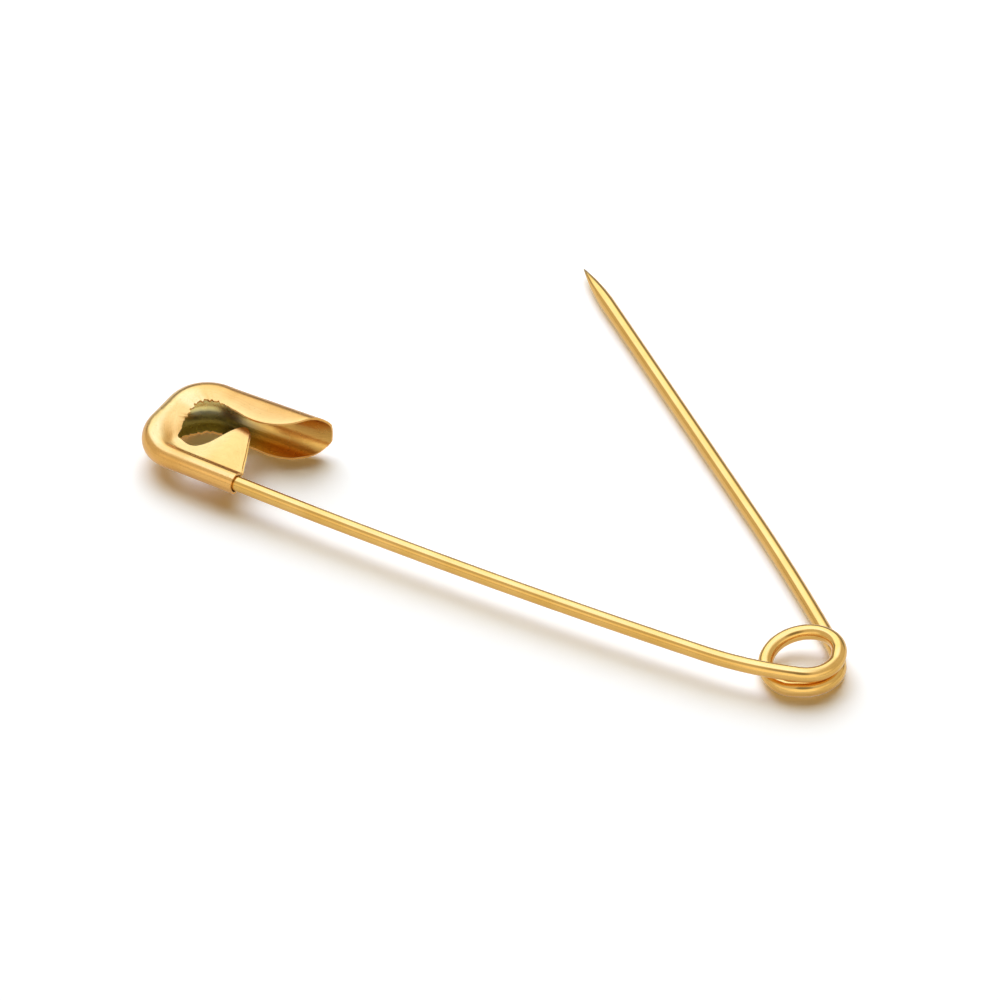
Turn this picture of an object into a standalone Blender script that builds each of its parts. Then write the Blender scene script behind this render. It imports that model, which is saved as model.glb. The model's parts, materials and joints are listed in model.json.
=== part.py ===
"""Open safety pin: one bent spring-steel wire and one folded sheet-metal cap.

The wire runs from the cap along the back arm, round the coil and out along the pin arm to
its point. It is one piece of wire, drawn as three solids because it bends at the coil:
back_arm, spring_coil and pin_arm. The cap is one piece of sheet: a crimped tube round the
end of the back arm, a doubled web beside it, a swelling bend, and the trough that takes
the point. Lengths are in metres, +Z is up, and the pin lies on the plane z = 0.
"""

from math import acos, asin, cos, pi, radians, sin

import bmesh
import bpy
from mathutils import Matrix, Vector

# Wire
WIRE_DIAMETER = 0.0012
WIRE_SIDES = 16
SEAM_GAP = 0.0001           # between the solids that one wire is drawn as

# Back arm
BACK_BOW_ANGLE = radians(4.4)   # how far the arm bows between the cap and the coil

# Coil: the wire comes in on top, turns anticlockwise seen from above and leaves below
COIL_RADIUS = 0.00282       # to the middle of the wire
COIL_PITCH = 0.00164        # between the upper and the lower pass
OPENING_ANGLE = radians(35.5)   # between the pin arm and the crimped end of the back arm
LEAD_IN_RADIUS = 0.026      # the easy bend from the back arm into the coil
LEAD_IN_ANGLE = radians(16.8)
LEAD_OUT_RADIUS = 0.0088    # the easy bend from the coil into the pin arm
LEAD_OUT_ANGLE = radians(18.8)
STEPS_PER_TURN = 24
LEAD_STEPS = 3

# Pin arm
PIN_BOW_LENGTH = 0.0153     # the stretch next to the coil that bows a little
PIN_BOW_ANGLE = radians(3.2)
PIN_REACH = 0.0524          # from the coil's axis to the point, along the arm
POINT_LENGTH = 0.0052
POINT_END_RADIUS = 0.00004
POINT_FULLNESS = 2.0        # power of the ogive's curve
POINT_RINGS = 8
BOW_STEPS = 6

# Cap: sheet, crimped tube and doubled web
SHEET = 0.00018
CRIMP_GAP = 0.00005         # between the wire and the tube round it
LAYER_GAP = 0.00003         # between the two layers of the web
WEB_LIFT = 0.00034          # middle of the web over the middle of the wire
WIRE_SHORT_OF_BEND = 0.0005

# Cap: plan, measured from the coil's axis along the back arm and out from the arm's middle
CAP_FAR_END = 0.0581
CAP_MOUTH = 0.0452
TUBE_END = 0.0481
CAP_WIDTH = 0.00986         # from the tube's outer side to the trough's fold, at the bend
LOWER_BEND_RADIUS = 0.00365
UPPER_BEND_RADIUS = 0.0038
TROUGH_FLARE = radians(3.0)
FAN_LEAD = 0.0020           # how far past the bend the sections still turn

# Cap: section of the trough
TROUGH_RISE = 0.0019        # from the middle of the wire to the front wall
FOLD_DEPTH = 0.0017         # how far in from the fold the walls are fully apart
LIP_TUCK = 0.00025          # how far the front lip leans back in

# Ragged edge of the window, where the sheet tore as it was drawn
RAG_HEIGHT = 0.00007
RAG_LENGTH = 0.0011
RAG_RIPPLES = ((1.0, 1.0), (1.73, 0.6), (0.61, 0.4))    # how often and how strong each ripple is
RAG_FROM_SHARE = 0.5        # share of the lower bend where the edge begins to tear
RAG_UNTIL_SHARE = 0.2       # share of the trough where it ends
EASE_SHARE = 0.25           # share of a stretch over which one edge shape turns into the next

# Cap: where the crimped section swells into the trough's
CREASE_FADE_START_SHARE = 0.8   # share of the run beside the web where the crease begins to fade
CREASE_FADE_END_SHARE = 0.12    # share of the bend where it has become a shallow dip
SWELL_START_SHARE = 0.7     # share of the run beside the web
REAR_SWELL_START_SHARE = 0.35   # the same for the rear wall, which sags sooner
SWELL_END_SHARE = 0.78      # share of the bend

SECTION_STEPS = 11
PATH_STEP = 0.00042
ARC_SHARE = 0.6             # share of a half section's steps that the tube's round part takes
SHARP_ANGLE = radians(40.0)

# How the wire moves
SWING_TILT = radians(3.2)   # lean of the swing axis, as the wire leaves the coil on a slope


def material(name, color, roughness):
    made = bpy.data.materials.new(name)
    made.use_nodes = True
    shader = made.node_tree.nodes["Principled BSDF"]
    shader.inputs["Base Color"].default_value = (*color, 1.0)
    shader.inputs["Roughness"].default_value = roughness
    shader.inputs["Metallic"].default_value = 1.0
    return made


def add_object(name, mesh, finish, origin=None, parent=None):
    """Link a mesh given in world places, with its origin at a point and under a parent."""
    origin = origin or Vector()
    mesh.transform(Matrix.Translation(-origin))
    mesh.materials.append(finish)
    made = bpy.data.objects.new(name, mesh)
    bpy.context.scene.collection.objects.link(made)
    made.matrix_world = Matrix.Translation(origin)
    if parent:
        made.parent = parent
        made.matrix_parent_inverse = parent.matrix_world.inverted()
    return made


def add_axis(name, place, direction, parent=None):
    """An empty whose Z lies along a joint's axis."""
    made = bpy.data.objects.new(name, None)
    made.empty_display_size = COIL_RADIUS
    bpy.context.scene.collection.objects.link(made)
    turn = direction.to_track_quat("Z", "Y").to_matrix().to_4x4()
    made.matrix_world = Matrix.Translation(place) @ turn
    if parent:
        made.parent = parent
        made.matrix_parent_inverse = parent.matrix_world.inverted()
    bpy.context.view_layer.update()
    return made


def smooth(x):
    x = min(max(x, 0.0), 1.0)
    return x * x * (3.0 - 2.0 * x)


# Wire

def wire_levels():
    """Heights of the middle of the wire: lower pass, upper pass."""
    lower = WIRE_DIAMETER / 2
    return lower, lower + COIL_PITCH


def on_arc(centre, radius, heading):
    """Point of an anticlockwise arc where the wire heads this way."""
    return centre + radius * Vector((sin(heading), -cos(heading)))


def heading_vector(heading):
    return Vector((cos(heading), sin(heading)))


def coil_arcs():
    """The coil between its easy bends: start and end headings, centre and radius of each arc."""
    middle = Vector((0.0, 0.0))
    begins = BACK_BOW_ANGLE + LEAD_IN_ANGLE
    leaves = 3 * pi - OPENING_ANGLE - PIN_BOW_ANGLE
    ends = leaves - LEAD_OUT_ANGLE
    lead_in = on_arc(middle, COIL_RADIUS - LEAD_IN_RADIUS, begins)
    lead_out = on_arc(middle, COIL_RADIUS - LEAD_OUT_RADIUS, ends)
    return (
        (BACK_BOW_ANGLE, begins, lead_in, LEAD_IN_RADIUS),
        (begins, ends, middle, COIL_RADIUS),
        (ends, leaves, lead_out, LEAD_OUT_RADIUS),
    )


def coil_height(heading):
    """The wire stays level above and below the overlap and drops one pitch between."""
    lower, upper = wire_levels()
    level_until = coil_arcs()[-1][1] - 2 * pi
    return upper - COIL_PITCH * smooth((heading - level_until) / (2 * pi - level_until))


def steps_between(start, end, least):
    count = max(least, round((end - start) / (2 * pi) * STEPS_PER_TURN))
    return [start + (end - start) * i / count for i in range(count + 1)]


def coil_points():
    """Middle line of the coil with its easy bends and one straight diameter at each end."""
    points = []
    for start, end, centre, radius in coil_arcs():
        headings = steps_between(start, end, LEAD_STEPS)
        for heading in headings[1:] if points else headings:
            plan = on_arc(centre, radius, heading)
            points.append(Vector((*plan, coil_height(heading))))
    entry, leaves = coil_arcs()[0][0], coil_arcs()[-1][1]
    points.insert(0, points[0] - heading_vector(entry).to_3d() * WIRE_DIAMETER)
    points.append(points[-1] + heading_vector(leaves).to_3d() * WIRE_DIAMETER)
    return points


def least_gap(points):
    """Least clear distance from the wire to itself, between points half a turn or more apart."""
    apart = STEPS_PER_TURN // 2
    fine = [a.lerp(b, share) for a, b in zip(points, points[1:]) for share in (0.0, 0.5)]
    return min(
        (a - b).length
        for i, a in enumerate(fine)
        for b in fine[i + 2 * apart:]
    ) - WIRE_DIAMETER


def tube_mesh(name, points, radii):
    """Closed round bar through points, with flat ends square to it."""
    work = bmesh.new()
    rings = []
    last = len(points) - 1
    for i, (point, radius) in enumerate(zip(points, radii)):
        along = (points[min(i + 1, last)] - points[max(i - 1, 0)]).normalized()
        if i in (0, last):
            along.z = 0.0
            along.normalize()
        side = Vector((0.0, 0.0, 1.0)).cross(along).normalized()
        over = along.cross(side)
        turns = [2 * pi * k / WIRE_SIDES for k in range(WIRE_SIDES)]
        rings.append([
            work.verts.new(point + radius * (side * cos(t) + over * sin(t))) for t in turns
        ])
    for ring, following in zip(rings, rings[1:]):
        for k in range(WIRE_SIDES):
            after = (k + 1) % WIRE_SIDES
            work.faces.new((ring[k], ring[after], following[after], following[k]))
    work.faces.new(reversed(rings[0]))
    work.faces.new(rings[-1])
    bmesh.ops.recalc_face_normals(work, faces=work.faces)
    return finished_mesh(name, work)


def finished_mesh(name, work):
    mesh = bpy.data.meshes.new(name)
    work.to_mesh(mesh)
    work.free()
    mesh.shade_smooth()
    mesh.set_sharp_from_angle(angle=SHARP_ANGLE)
    return mesh


def back_bow():
    """Centre and radius of the back arm's bow, from the tube's end to the coil's entry."""
    near = coil_points()[0].to_2d() - heading_vector(BACK_BOW_ANGLE) * SEAM_GAP
    radius = (near.x + TUBE_END) / sin(BACK_BOW_ANGLE)
    return on_arc(near, -radius, BACK_BOW_ANGLE), radius


def arm_line():
    """Distance of the crimped end's middle line from the coil's axis, on the -Y side."""
    centre, radius = back_bow()
    return radius - centre.y


def build_back_arm(finish):
    upper = wire_levels()[1]
    centre, radius = back_bow()
    far = Vector((-(CAP_FAR_END - LOWER_BEND_RADIUS - WIRE_SHORT_OF_BEND), -arm_line(), upper))
    points = [far]
    for i in range(BOW_STEPS + 1):
        plan = on_arc(centre, radius, BACK_BOW_ANGLE * i / BOW_STEPS)
        points.append(Vector((*plan, upper)))
    mesh = tube_mesh("back_arm", points, [WIRE_DIAMETER / 2] * len(points))
    return add_object("back_arm", mesh, finish)


def build_spring_coil(finish, axis):
    points = coil_points()
    print(f"coil: least gap to itself {least_gap(points) * 1000:.3f} mm")
    mesh = tube_mesh("spring_coil", points, [WIRE_DIAMETER / 2] * len(points))
    return add_object("spring_coil", mesh, finish, axis.matrix_world.translation, axis)


def pin_direction():
    return heading_vector(3 * pi - OPENING_ANGLE).to_3d()


def build_pin_arm(finish, axis):
    """Arm that bows a little beside the coil, runs straight and ends in an ogive point."""
    lower = wire_levels()[0]
    leaves = coil_arcs()[-1][1]
    start = coil_points()[-1].to_2d() + heading_vector(leaves) * SEAM_GAP
    radius = PIN_BOW_LENGTH / PIN_BOW_ANGLE
    centre = on_arc(start, -radius, leaves)
    line = []
    for i in range(BOW_STEPS + 1):
        plan = on_arc(centre, radius, leaves + PIN_BOW_ANGLE * i / BOW_STEPS)
        line.append(Vector((*plan, lower)))
    radii = [WIRE_DIAMETER / 2] * len(line)
    ahead = pin_direction()
    tip = line[-1] + ahead * (PIN_REACH - line[-1].dot(ahead))
    shoulder = tip - ahead * POINT_LENGTH
    for i in range(POINT_RINGS + 1):
        share = i / POINT_RINGS
        swell = 1.0 - share ** POINT_FULLNESS
        line.append(shoulder.lerp(tip, share))
        radii.append(POINT_END_RADIUS + (WIRE_DIAMETER / 2 - POINT_END_RADIUS) * swell)
    mesh = tube_mesh("pin_arm", line, radii)
    return add_object("pin_arm", mesh, finish, axis.matrix_world.translation, axis)


# Cap

# Share of the path's straight run beside the web, and how far the web reaches in from the
# tube, as a share of the gap between tube and trough
WEB_SHARES = ((0.0, 0.0), (0.05, 0.085), (0.15, 0.305), (0.25, 0.511), (0.31, 0.63),
              (0.35, 0.693), (0.4, 0.716), (0.45, 0.71), (0.5, 0.658), (0.55, 0.56), (0.6, 0.419),
              (0.65, 0.28), (0.7, 0.193), (0.76, 0.127), (0.85, 0.098), (1.0, 0.136))
REAR_WEB_PROUD_SHARE = 0.04     # how much further the web's rear layer reaches
# Share of the way round the bend, and the lip's reach as a share of the cap's width
FRONT_BEND_SHARES = ((0.0, 0.26), (0.1, 0.39), (0.2, 0.345), (0.3, 0.333), (0.4, 0.317),
                     (0.5, 0.305), (0.6, 0.311), (0.7, 0.32), (0.8, 0.328), (0.9, 0.335),
                     (1.0, 0.329))
REAR_BEND_SHARES = ((0.0, 0.26), (0.25, 0.215), (0.42, 0.188), (0.52, 0.2), (0.62, 0.227),
                    (0.7, 0.25), (0.8, 0.252), (0.9, 0.257), (1.0, 0.26))
# Share of the way along the trough to its mouth, and the lip's reach as a share of the
# cap's width
FRONT_LIP_SHARES = ((0.0, 0.329), (0.12, 0.323), (0.25, 0.334), (0.37, 0.359), (0.47, 0.366),
                    (0.56, 0.356), (0.65, 0.331), (0.73, 0.292), (0.8, 0.238), (0.86, 0.165),
                    (0.92, 0.095), (0.96, 0.055), (1.0, 0.02))
REAR_LIP_SHARES = ((0.0, 0.26), (0.12, 0.258), (0.25, 0.268), (0.37, 0.265), (0.5, 0.277),
                   (0.58, 0.274), (0.66, 0.258), (0.74, 0.228), (0.82, 0.165), (0.9, 0.097),
                   (0.95, 0.05), (1.0, 0.012))


def tube_radius():
    return WIRE_DIAMETER / 2 + CRIMP_GAP + SHEET


def cap_runs():
    """Lengths of the outline's runs: beside the web, round the bend in three, along the trough."""
    beside_web = CAP_FAR_END - LOWER_BEND_RADIUS - TUBE_END
    far_end = CAP_WIDTH - LOWER_BEND_RADIUS - UPPER_BEND_RADIUS
    upper_turn = pi / 2 - TROUGH_FLARE
    bend = (LOWER_BEND_RADIUS * pi / 2, far_end, UPPER_BEND_RADIUS * upper_turn)
    turned_to = CAP_FAR_END - UPPER_BEND_RADIUS * (1.0 - sin(TROUGH_FLARE))
    trough = (turned_to - CAP_MOUTH) / cos(TROUGH_FLARE)
    return beside_web, bend, trough


def outline_at(along):
    """Point of the cap's outline in plan: along the back arm, and out from its middle."""
    beside_web, (lower, far_end, upper), trough = cap_runs()
    side = -tube_radius()
    if along <= beside_web:
        return Vector((TUBE_END + along, side))
    along -= beside_web
    centre = Vector((CAP_FAR_END - LOWER_BEND_RADIUS, side + LOWER_BEND_RADIUS))
    if along <= lower:
        turned = along / LOWER_BEND_RADIUS
        return centre + Vector((sin(turned), -cos(turned))) * LOWER_BEND_RADIUS
    along -= lower
    if along <= far_end:
        return Vector((CAP_FAR_END, centre.y + along))
    along -= far_end
    centre = Vector((CAP_FAR_END - UPPER_BEND_RADIUS, centre.y + far_end))
    turned = min(along, upper) / UPPER_BEND_RADIUS
    out = Vector((cos(turned), sin(turned)))
    on = Vector((-out.y, out.x))
    return centre + out * UPPER_BEND_RADIUS + on * max(along - upper, 0.0)


def inward_at(along):
    """Direction in from the outline. It turns more slowly than the bends, so that the
    sections never cross at the lip."""
    beside_web, (lower, far_end, upper), trough = cap_runs()
    first = lower + far_end / 2
    second = far_end / 2 + upper + FAN_LEAD
    past_web = along - beside_web
    turned = pi / 2 * min(max(past_web / first, 0.0), 1.0)
    turned += (pi / 2 - TROUGH_FLARE) * min(max((past_web - first) / second, 0.0), 1.0)
    return Vector((-sin(turned), cos(turned)))


def read_shares(shares, at):
    """Smooth curve through pairs of shares."""
    places = [place for place, _ in shares]
    i = max(k for k in range(len(shares) - 1) if k == 0 or places[k] <= at)

    def slope(k):
        before, after = max(k - 1, 0), min(k + 1, len(shares) - 1)
        return (shares[after][1] - shares[before][1]) / (places[after] - places[before])

    width = places[i + 1] - places[i]
    t = min(max((at - places[i]) / width, 0.0), 1.0)
    start, end = shares[i][1], shares[i + 1][1]
    return (
        start * (1.0 + 2.0 * t) * (1.0 - t) ** 2
        + slope(i) * width * t * (1.0 - t) ** 2
        + end * t * t * (3.0 - 2.0 * t)
        + slope(i + 1) * width * t * t * (t - 1.0)
    )


def ragged(along, side):
    """Torn edge: ripples that don't line up, stronger in the middle of the window."""
    beside_web, bend, trough = cap_runs()
    starts = beside_web + RAG_FROM_SHARE * bend[0]
    ends = beside_web + sum(bend) + RAG_UNTIL_SHARE * trough
    share = (along - starts) / (ends - starts)
    if not 0.0 < share < 1.0:
        return 0.0
    turn = 2 * pi * along / RAG_LENGTH
    ripple = sum(size * sin(often * turn + side) for often, size in RAG_RIPPLES)
    return RAG_HEIGHT * ripple * smooth(share / EASE_SHARE) * smooth((1.0 - share) / EASE_SHARE)


def reach_at(along, side):
    """How far the sheet reaches in from the outline, on the front (1) or the rear (-1)."""
    beside_web, bend, trough = cap_runs()
    if along <= beside_web:
        web = read_shares(WEB_SHARES, along / beside_web)
        if side < 0:
            web *= 1.0 + REAR_WEB_PROUD_SHARE
        between = CAP_WIDTH - 2 * tube_radius() - FOLD_DEPTH
        return 2 * tube_radius() + between * web
    web_end = reach_at(beside_web, side)
    past_web = along - beside_web
    if past_web <= sum(bend):
        shares = FRONT_BEND_SHARES if side > 0 else REAR_BEND_SHARES
        share = past_web / sum(bend)
        reach = CAP_WIDTH * read_shares(shares, share)
        reach = web_end + (reach - web_end) * smooth(share / EASE_SHARE)
    else:
        shares = FRONT_LIP_SHARES if side > 0 else REAR_LIP_SHARES
        reach = CAP_WIDTH * read_shares(shares, (past_web - sum(bend)) / trough)
    return reach + ragged(along, side)


def tube_half(side, reach, faded):
    """Half section where the sheet is crimped round the wire and doubled into the web. On
    the front, the crease beside the web can fade into a shallow dip."""
    radius = tube_radius()
    web = WEB_LIFT + side * (LAYER_GAP / 2 + SHEET)
    sweep = pi - side * asin(web / radius)
    leaves = radius * (1.0 - cos(sweep))
    top_share = ARC_SHARE * pi / 2 / sweep
    half = []
    for i in range(SECTION_STEPS + 1):
        share = i / SECTION_STEPS
        if share < ARC_SHARE:
            turn = sweep * share / ARC_SHARE
            spot = Vector((radius * (1.0 - cos(turn)), side * radius * sin(turn)))
        else:
            t = (share - ARC_SHARE) / (1.0 - ARC_SHARE)
            spot = Vector((leaves + (reach - leaves) * t, web))
        if side > 0 and share > top_share:
            t = (share - top_share) / (1.0 - top_share)
            dip = Vector((radius + (reach - radius) * t, radius + (web - radius) * smooth(t)))
            spot = spot.lerp(dip, faded)
        half.append(spot)
    return half


def trough_half(side, reach):
    """Half section of the trough: a round fold that runs on into a nearly flat wall."""
    drop = wire_levels()[1]
    rise = (TROUGH_RISE + drop) / 2
    middle = (TROUGH_RISE - drop) / 2
    if reach < FOLD_DEPTH:
        end = acos(1.0 - reach / FOLD_DEPTH)
    else:
        end = pi / 2 + (reach - FOLD_DEPTH) / FOLD_DEPTH
    half = []
    for i in range(SECTION_STEPS + 1):
        turn = end * i / SECTION_STEPS
        if turn < pi / 2:
            half.append(Vector((FOLD_DEPTH * (1.0 - cos(turn)), middle + side * rise * sin(turn))))
        else:
            tuck = LIP_TUCK if side > 0 else 0.0
            level = rise - tuck * smooth((turn - pi / 2) / (pi / 2))
            half.append(Vector((FOLD_DEPTH * (1.0 + turn - pi / 2), middle + side * level)))
    return half


def eased(along, start_share, end_share):
    """Eases from 0, at a share of the run beside the web, to 1, at a share of the bend."""
    beside_web, bend, trough = cap_runs()
    starts = start_share * beside_web
    ends = beside_web + end_share * sum(bend)
    return smooth((along - starts) / (ends - starts))


def half_section(along, side):
    """From the outline inwards: depth in from the outline, and height over the wire."""
    reach = reach_at(along, side)
    faded = eased(along, CREASE_FADE_START_SHARE, CREASE_FADE_END_SHARE)
    starts = SWELL_START_SHARE if side > 0 else REAR_SWELL_START_SHARE
    opened = eased(along, starts, SWELL_END_SHARE)
    return [
        closed.lerp(wide, opened)
        for closed, wide in zip(tube_half(side, reach, faded), trough_half(side, reach))
    ]


def build_cap(finish):
    """Loft the sheet's outer face along the outline, then give it its thickness inwards."""
    beside_web, bend, trough = cap_runs()
    total = beside_web + sum(bend) + trough
    count = round(total / PATH_STEP)
    level = wire_levels()[1]
    work = bmesh.new()
    rows = []
    for i in range(count + 1):
        along = total * i / count
        on_outline, inward = outline_at(along), inward_at(along)
        front, rear = half_section(along, 1), half_section(along, -1)
        row = []
        for depth, height in [*reversed(rear[1:]), *front]:
            plan = on_outline + inward * depth
            row.append(work.verts.new((-plan.x, plan.y - arm_line(), level + height)))
        rows.append(row)
    for row, following in zip(rows, rows[1:]):
        for k in range(len(row) - 1):
            work.faces.new((row[k], row[k + 1], following[k + 1], following[k]))
    mesh = finished_mesh("cap", work)
    cap = add_object("cap", mesh, finish)
    wall = cap.modifiers.new("sheet", "SOLIDIFY")
    wall.thickness = SHEET
    wall.offset = -1.0
    wall.use_even_offset = True
    wall.use_rim = True
    return cap


def stand_on_origin(objects):
    """Move the top objects so that the middle of the whole pin's base is the origin."""
    bpy.context.view_layer.update()
    corners = [o.matrix_world @ v.co for o in objects for v in o.data.vertices]
    low = Vector([min(c[k] for c in corners) for k in range(3)])
    high = Vector([max(c[k] for c in corners) for k in range(3)])
    shift = Vector((-(low.x + high.x) / 2, -(low.y + high.y) / 2, -low.z))
    for made in bpy.context.scene.objects:
        if made.parent is None:
            made.matrix_world = Matrix.Translation(shift) @ made.matrix_world
    bpy.context.view_layer.update()


def main():
    for made in list(bpy.data.objects):
        bpy.data.objects.remove(made, do_unlink=True)
    wire_finish = material("gold_plated_wire", (0.86, 0.57, 0.19), 0.16)
    cap_finish = material("gold_plated_sheet", (0.83, 0.56, 0.22), 0.24)
    across = Vector((0.0, 0.0, 1.0)).cross(pin_direction())
    centre = Vector((0.0, 0.0, wire_levels()[0]))
    lean = Vector((0.0, 0.0, cos(SWING_TILT))) + across * sin(SWING_TILT)
    swing = add_axis("pin_swing_axis", centre, lean)
    flex = add_axis("pin_flex_axis", centre, -across, swing)
    pieces = [
        build_cap(cap_finish),
        build_back_arm(wire_finish),
        build_spring_coil(wire_finish, swing),
        build_pin_arm(wire_finish, flex),
    ]
    stand_on_origin(pieces)
    for axis in (swing, flex):
        place, line = axis.matrix_world.translation, axis.matrix_world.col[2]
        print(axis.name, [round(v, 7) for v in place], [round(v, 6) for v in line[:3]])
    return pieces


main()
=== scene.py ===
"""Open safety pin: the look of its wire and its folded cap, and the stage it lies on.

Laid out as an add-on with one operator for each piece. Lengths are in metres, +Z is up, and
every piece is made in the frame that the solids were packed in.
"""

import json
from math import acos, asin, cos, pi, radians, sin

import bmesh
import bpy
from bpy.props import FloatProperty, FloatVectorProperty, IntProperty, PointerProperty
from mathutils import Matrix, Vector


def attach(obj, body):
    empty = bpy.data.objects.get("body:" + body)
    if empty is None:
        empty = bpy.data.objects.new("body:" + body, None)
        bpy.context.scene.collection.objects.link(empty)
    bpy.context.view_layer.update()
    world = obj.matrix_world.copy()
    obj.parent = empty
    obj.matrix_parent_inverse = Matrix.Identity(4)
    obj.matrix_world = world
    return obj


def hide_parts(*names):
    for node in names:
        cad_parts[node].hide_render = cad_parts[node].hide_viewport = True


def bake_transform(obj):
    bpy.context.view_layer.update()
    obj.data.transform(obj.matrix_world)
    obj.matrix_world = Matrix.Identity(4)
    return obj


bl_info = {
    "name": "Safety pin",
    "version": (1, 0, 0),
    "blender": (4, 5, 0),
    "location": "3D View > Sidebar > Safety pin",
    "description": "Wire, folded cap and stage of an open safety pin",
    "category": "Object",
}

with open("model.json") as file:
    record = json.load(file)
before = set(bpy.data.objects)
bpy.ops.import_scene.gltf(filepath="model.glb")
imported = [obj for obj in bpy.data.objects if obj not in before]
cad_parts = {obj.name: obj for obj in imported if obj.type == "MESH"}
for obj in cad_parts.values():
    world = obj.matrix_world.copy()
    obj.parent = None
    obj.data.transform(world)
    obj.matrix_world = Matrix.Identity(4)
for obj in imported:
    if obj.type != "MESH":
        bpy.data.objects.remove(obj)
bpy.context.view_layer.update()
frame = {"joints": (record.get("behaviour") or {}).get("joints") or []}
COIL_AXIS = Vector(frame["joints"][0]["pos_m"][:2])

# Wire
BACK_BOW_ANGLE = radians(4.4)
COIL_PITCH = 0.00164
LEAD_IN_RADIUS = 0.026
LEAD_IN_ANGLE = radians(16.8)
LEAD_OUT_RADIUS = 0.0088
LEAD_OUT_ANGLE = radians(18.8)
PIN_BOW_LENGTH = 0.0153
PIN_BOW_ANGLE = radians(3.2)
POINT_LENGTH = 0.0052
POINT_END_RADIUS = 0.00004
POINT_FULLNESS = 2.0
SEAM_GAP = 0.0001
ARC_STEP = radians(1.2)
COIL_SQUEEZE = 0.00015
SQUEEZE_EASE = 1.1
SQUEEZE_FADE = 0.5
WINDS_FROM = radians(140.0)     # headings between which the coil winds as the pin closes
WINDS_UNTIL = radians(320.0)

# Cap
CRIMP_GAP = 0.00005
LAYER_GAP = 0.00003
WEB_LIFT = 0.00033
WEB_SLOPE = 0.04
WIRE_SHORT_OF_BEND = 0.0005
CAP_MOUTH = 0.0452
TUBE_END = 0.0481
LOWER_BEND_RADIUS = 0.00365
UPPER_BEND_RADIUS = 0.0038
TROUGH_FLARE = radians(3.0)
FAN_LEAD = 0.0020
TROUGH_RISE = 0.0019
FOLD_DEPTH = 0.0017
LIP_TUCK = 0.00025
RAG_HEIGHT = 0.00007
RAG_LENGTH = 0.0011
RAG_RIPPLES = ((1.0, 1.0), (1.73, 0.6), (0.61, 0.4))
RAG_FROM_SHARE = 0.5
RAG_UNTIL_SHARE = 0.2
EASE_SHARE = 0.25
CREASE_EASE = 0.0002
CREASE_FADE_START_SHARE = 0.8
CREASE_FADE_END_SHARE = 0.12
REAR_CRIMP_DEPTH = 1.16
SWELL_START_SHARE = 0.7
REAR_SWELL_START_SHARE = 0.35
SWELL_END_SHARE = 0.78
DIP_SHARE = 0.74
SECTION_STEPS = 44
LIP_SPACING = 1.5
PATH_STEP = 0.00011
ARC_SHARE = 0.6
REAR_WEB_PROUD = 0.00017
WEB_SHARES = ((0.0, 0.0), (0.05, 0.085), (0.15, 0.305), (0.25, 0.511), (0.31, 0.63),
              (0.35, 0.693), (0.4, 0.716), (0.45, 0.71), (0.5, 0.658), (0.55, 0.56), (0.6, 0.419),
              (0.65, 0.28), (0.7, 0.193), (0.76, 0.127), (0.85, 0.098), (1.0, 0.136))
FRONT_BEND_SHARES = ((0.0, 0.26), (0.1, 0.39), (0.2, 0.345), (0.3, 0.333), (0.4, 0.317),
                     (0.5, 0.305), (0.6, 0.311), (0.7, 0.32), (0.8, 0.328), (0.9, 0.335),
                     (1.0, 0.329))
REAR_BEND_SHARES = ((0.0, 0.26), (0.25, 0.215), (0.42, 0.188), (0.52, 0.2), (0.62, 0.227),
                    (0.7, 0.25), (0.8, 0.252), (0.9, 0.257), (1.0, 0.26))
FRONT_LIP_SHARES = ((0.0, 0.329), (0.12, 0.323), (0.25, 0.334), (0.37, 0.359), (0.47, 0.366),
                    (0.56, 0.356), (0.65, 0.331), (0.73, 0.292), (0.8, 0.238), (0.86, 0.165),
                    (0.92, 0.095), (0.96, 0.055), (1.0, 0.02))
REAR_LIP_SHARES = ((0.0, 0.26), (0.12, 0.258), (0.25, 0.268), (0.37, 0.265), (0.5, 0.277),
                   (0.58, 0.274), (0.66, 0.258), (0.74, 0.228), (0.82, 0.165), (0.9, 0.097),
                   (0.95, 0.05), (1.0, 0.012))

# Patches of painted highlight on the bend and painted shade on the trough's front: where they
# rise and fall along and across it
HIGHLIGHT_AND_SHADE_PATCHES = (
    # Painted highlights on the bend's ridge, top and corner
    ("Painted highlight on the ridge", "highlight_gold",
     ((0.0066, 0.0085), (0.0172, 0.0148)), ((0.0011, 0.0019), (0.0034, 0.0027))),
    ("Painted highlight on the top", "highlight_gold",
     ((0.0133, 0.0146), (0.0178, 0.0162)), ((0.0027, 0.0034), (0.0060, 0.0055))),
    ("Painted highlight on the corner", "highlight_gold",
     ((0.0026, 0.0042), (0.0074, 0.0066)), ((0.0026, 0.0033), (0.0060, 0.0055))),
    # Painted shade on the trough's front
    ("Painted shade on the streaked trough", "shaded_trough_gold",
     ((0.0180, 0.0215), (0.040, 0.035)), ((0.0005, 0.0018), (0.0049, 0.0037))),
)

# The part of the inner side painted dark as shade: along the bend, and in from the fold
INNER_SHADE_ALONG_BEND = ((0.0115, 0.0140), (0.0245, 0.0208))
INNER_SHADE_IN_FROM_FOLD = (-0.0014, -0.0020)

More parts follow.
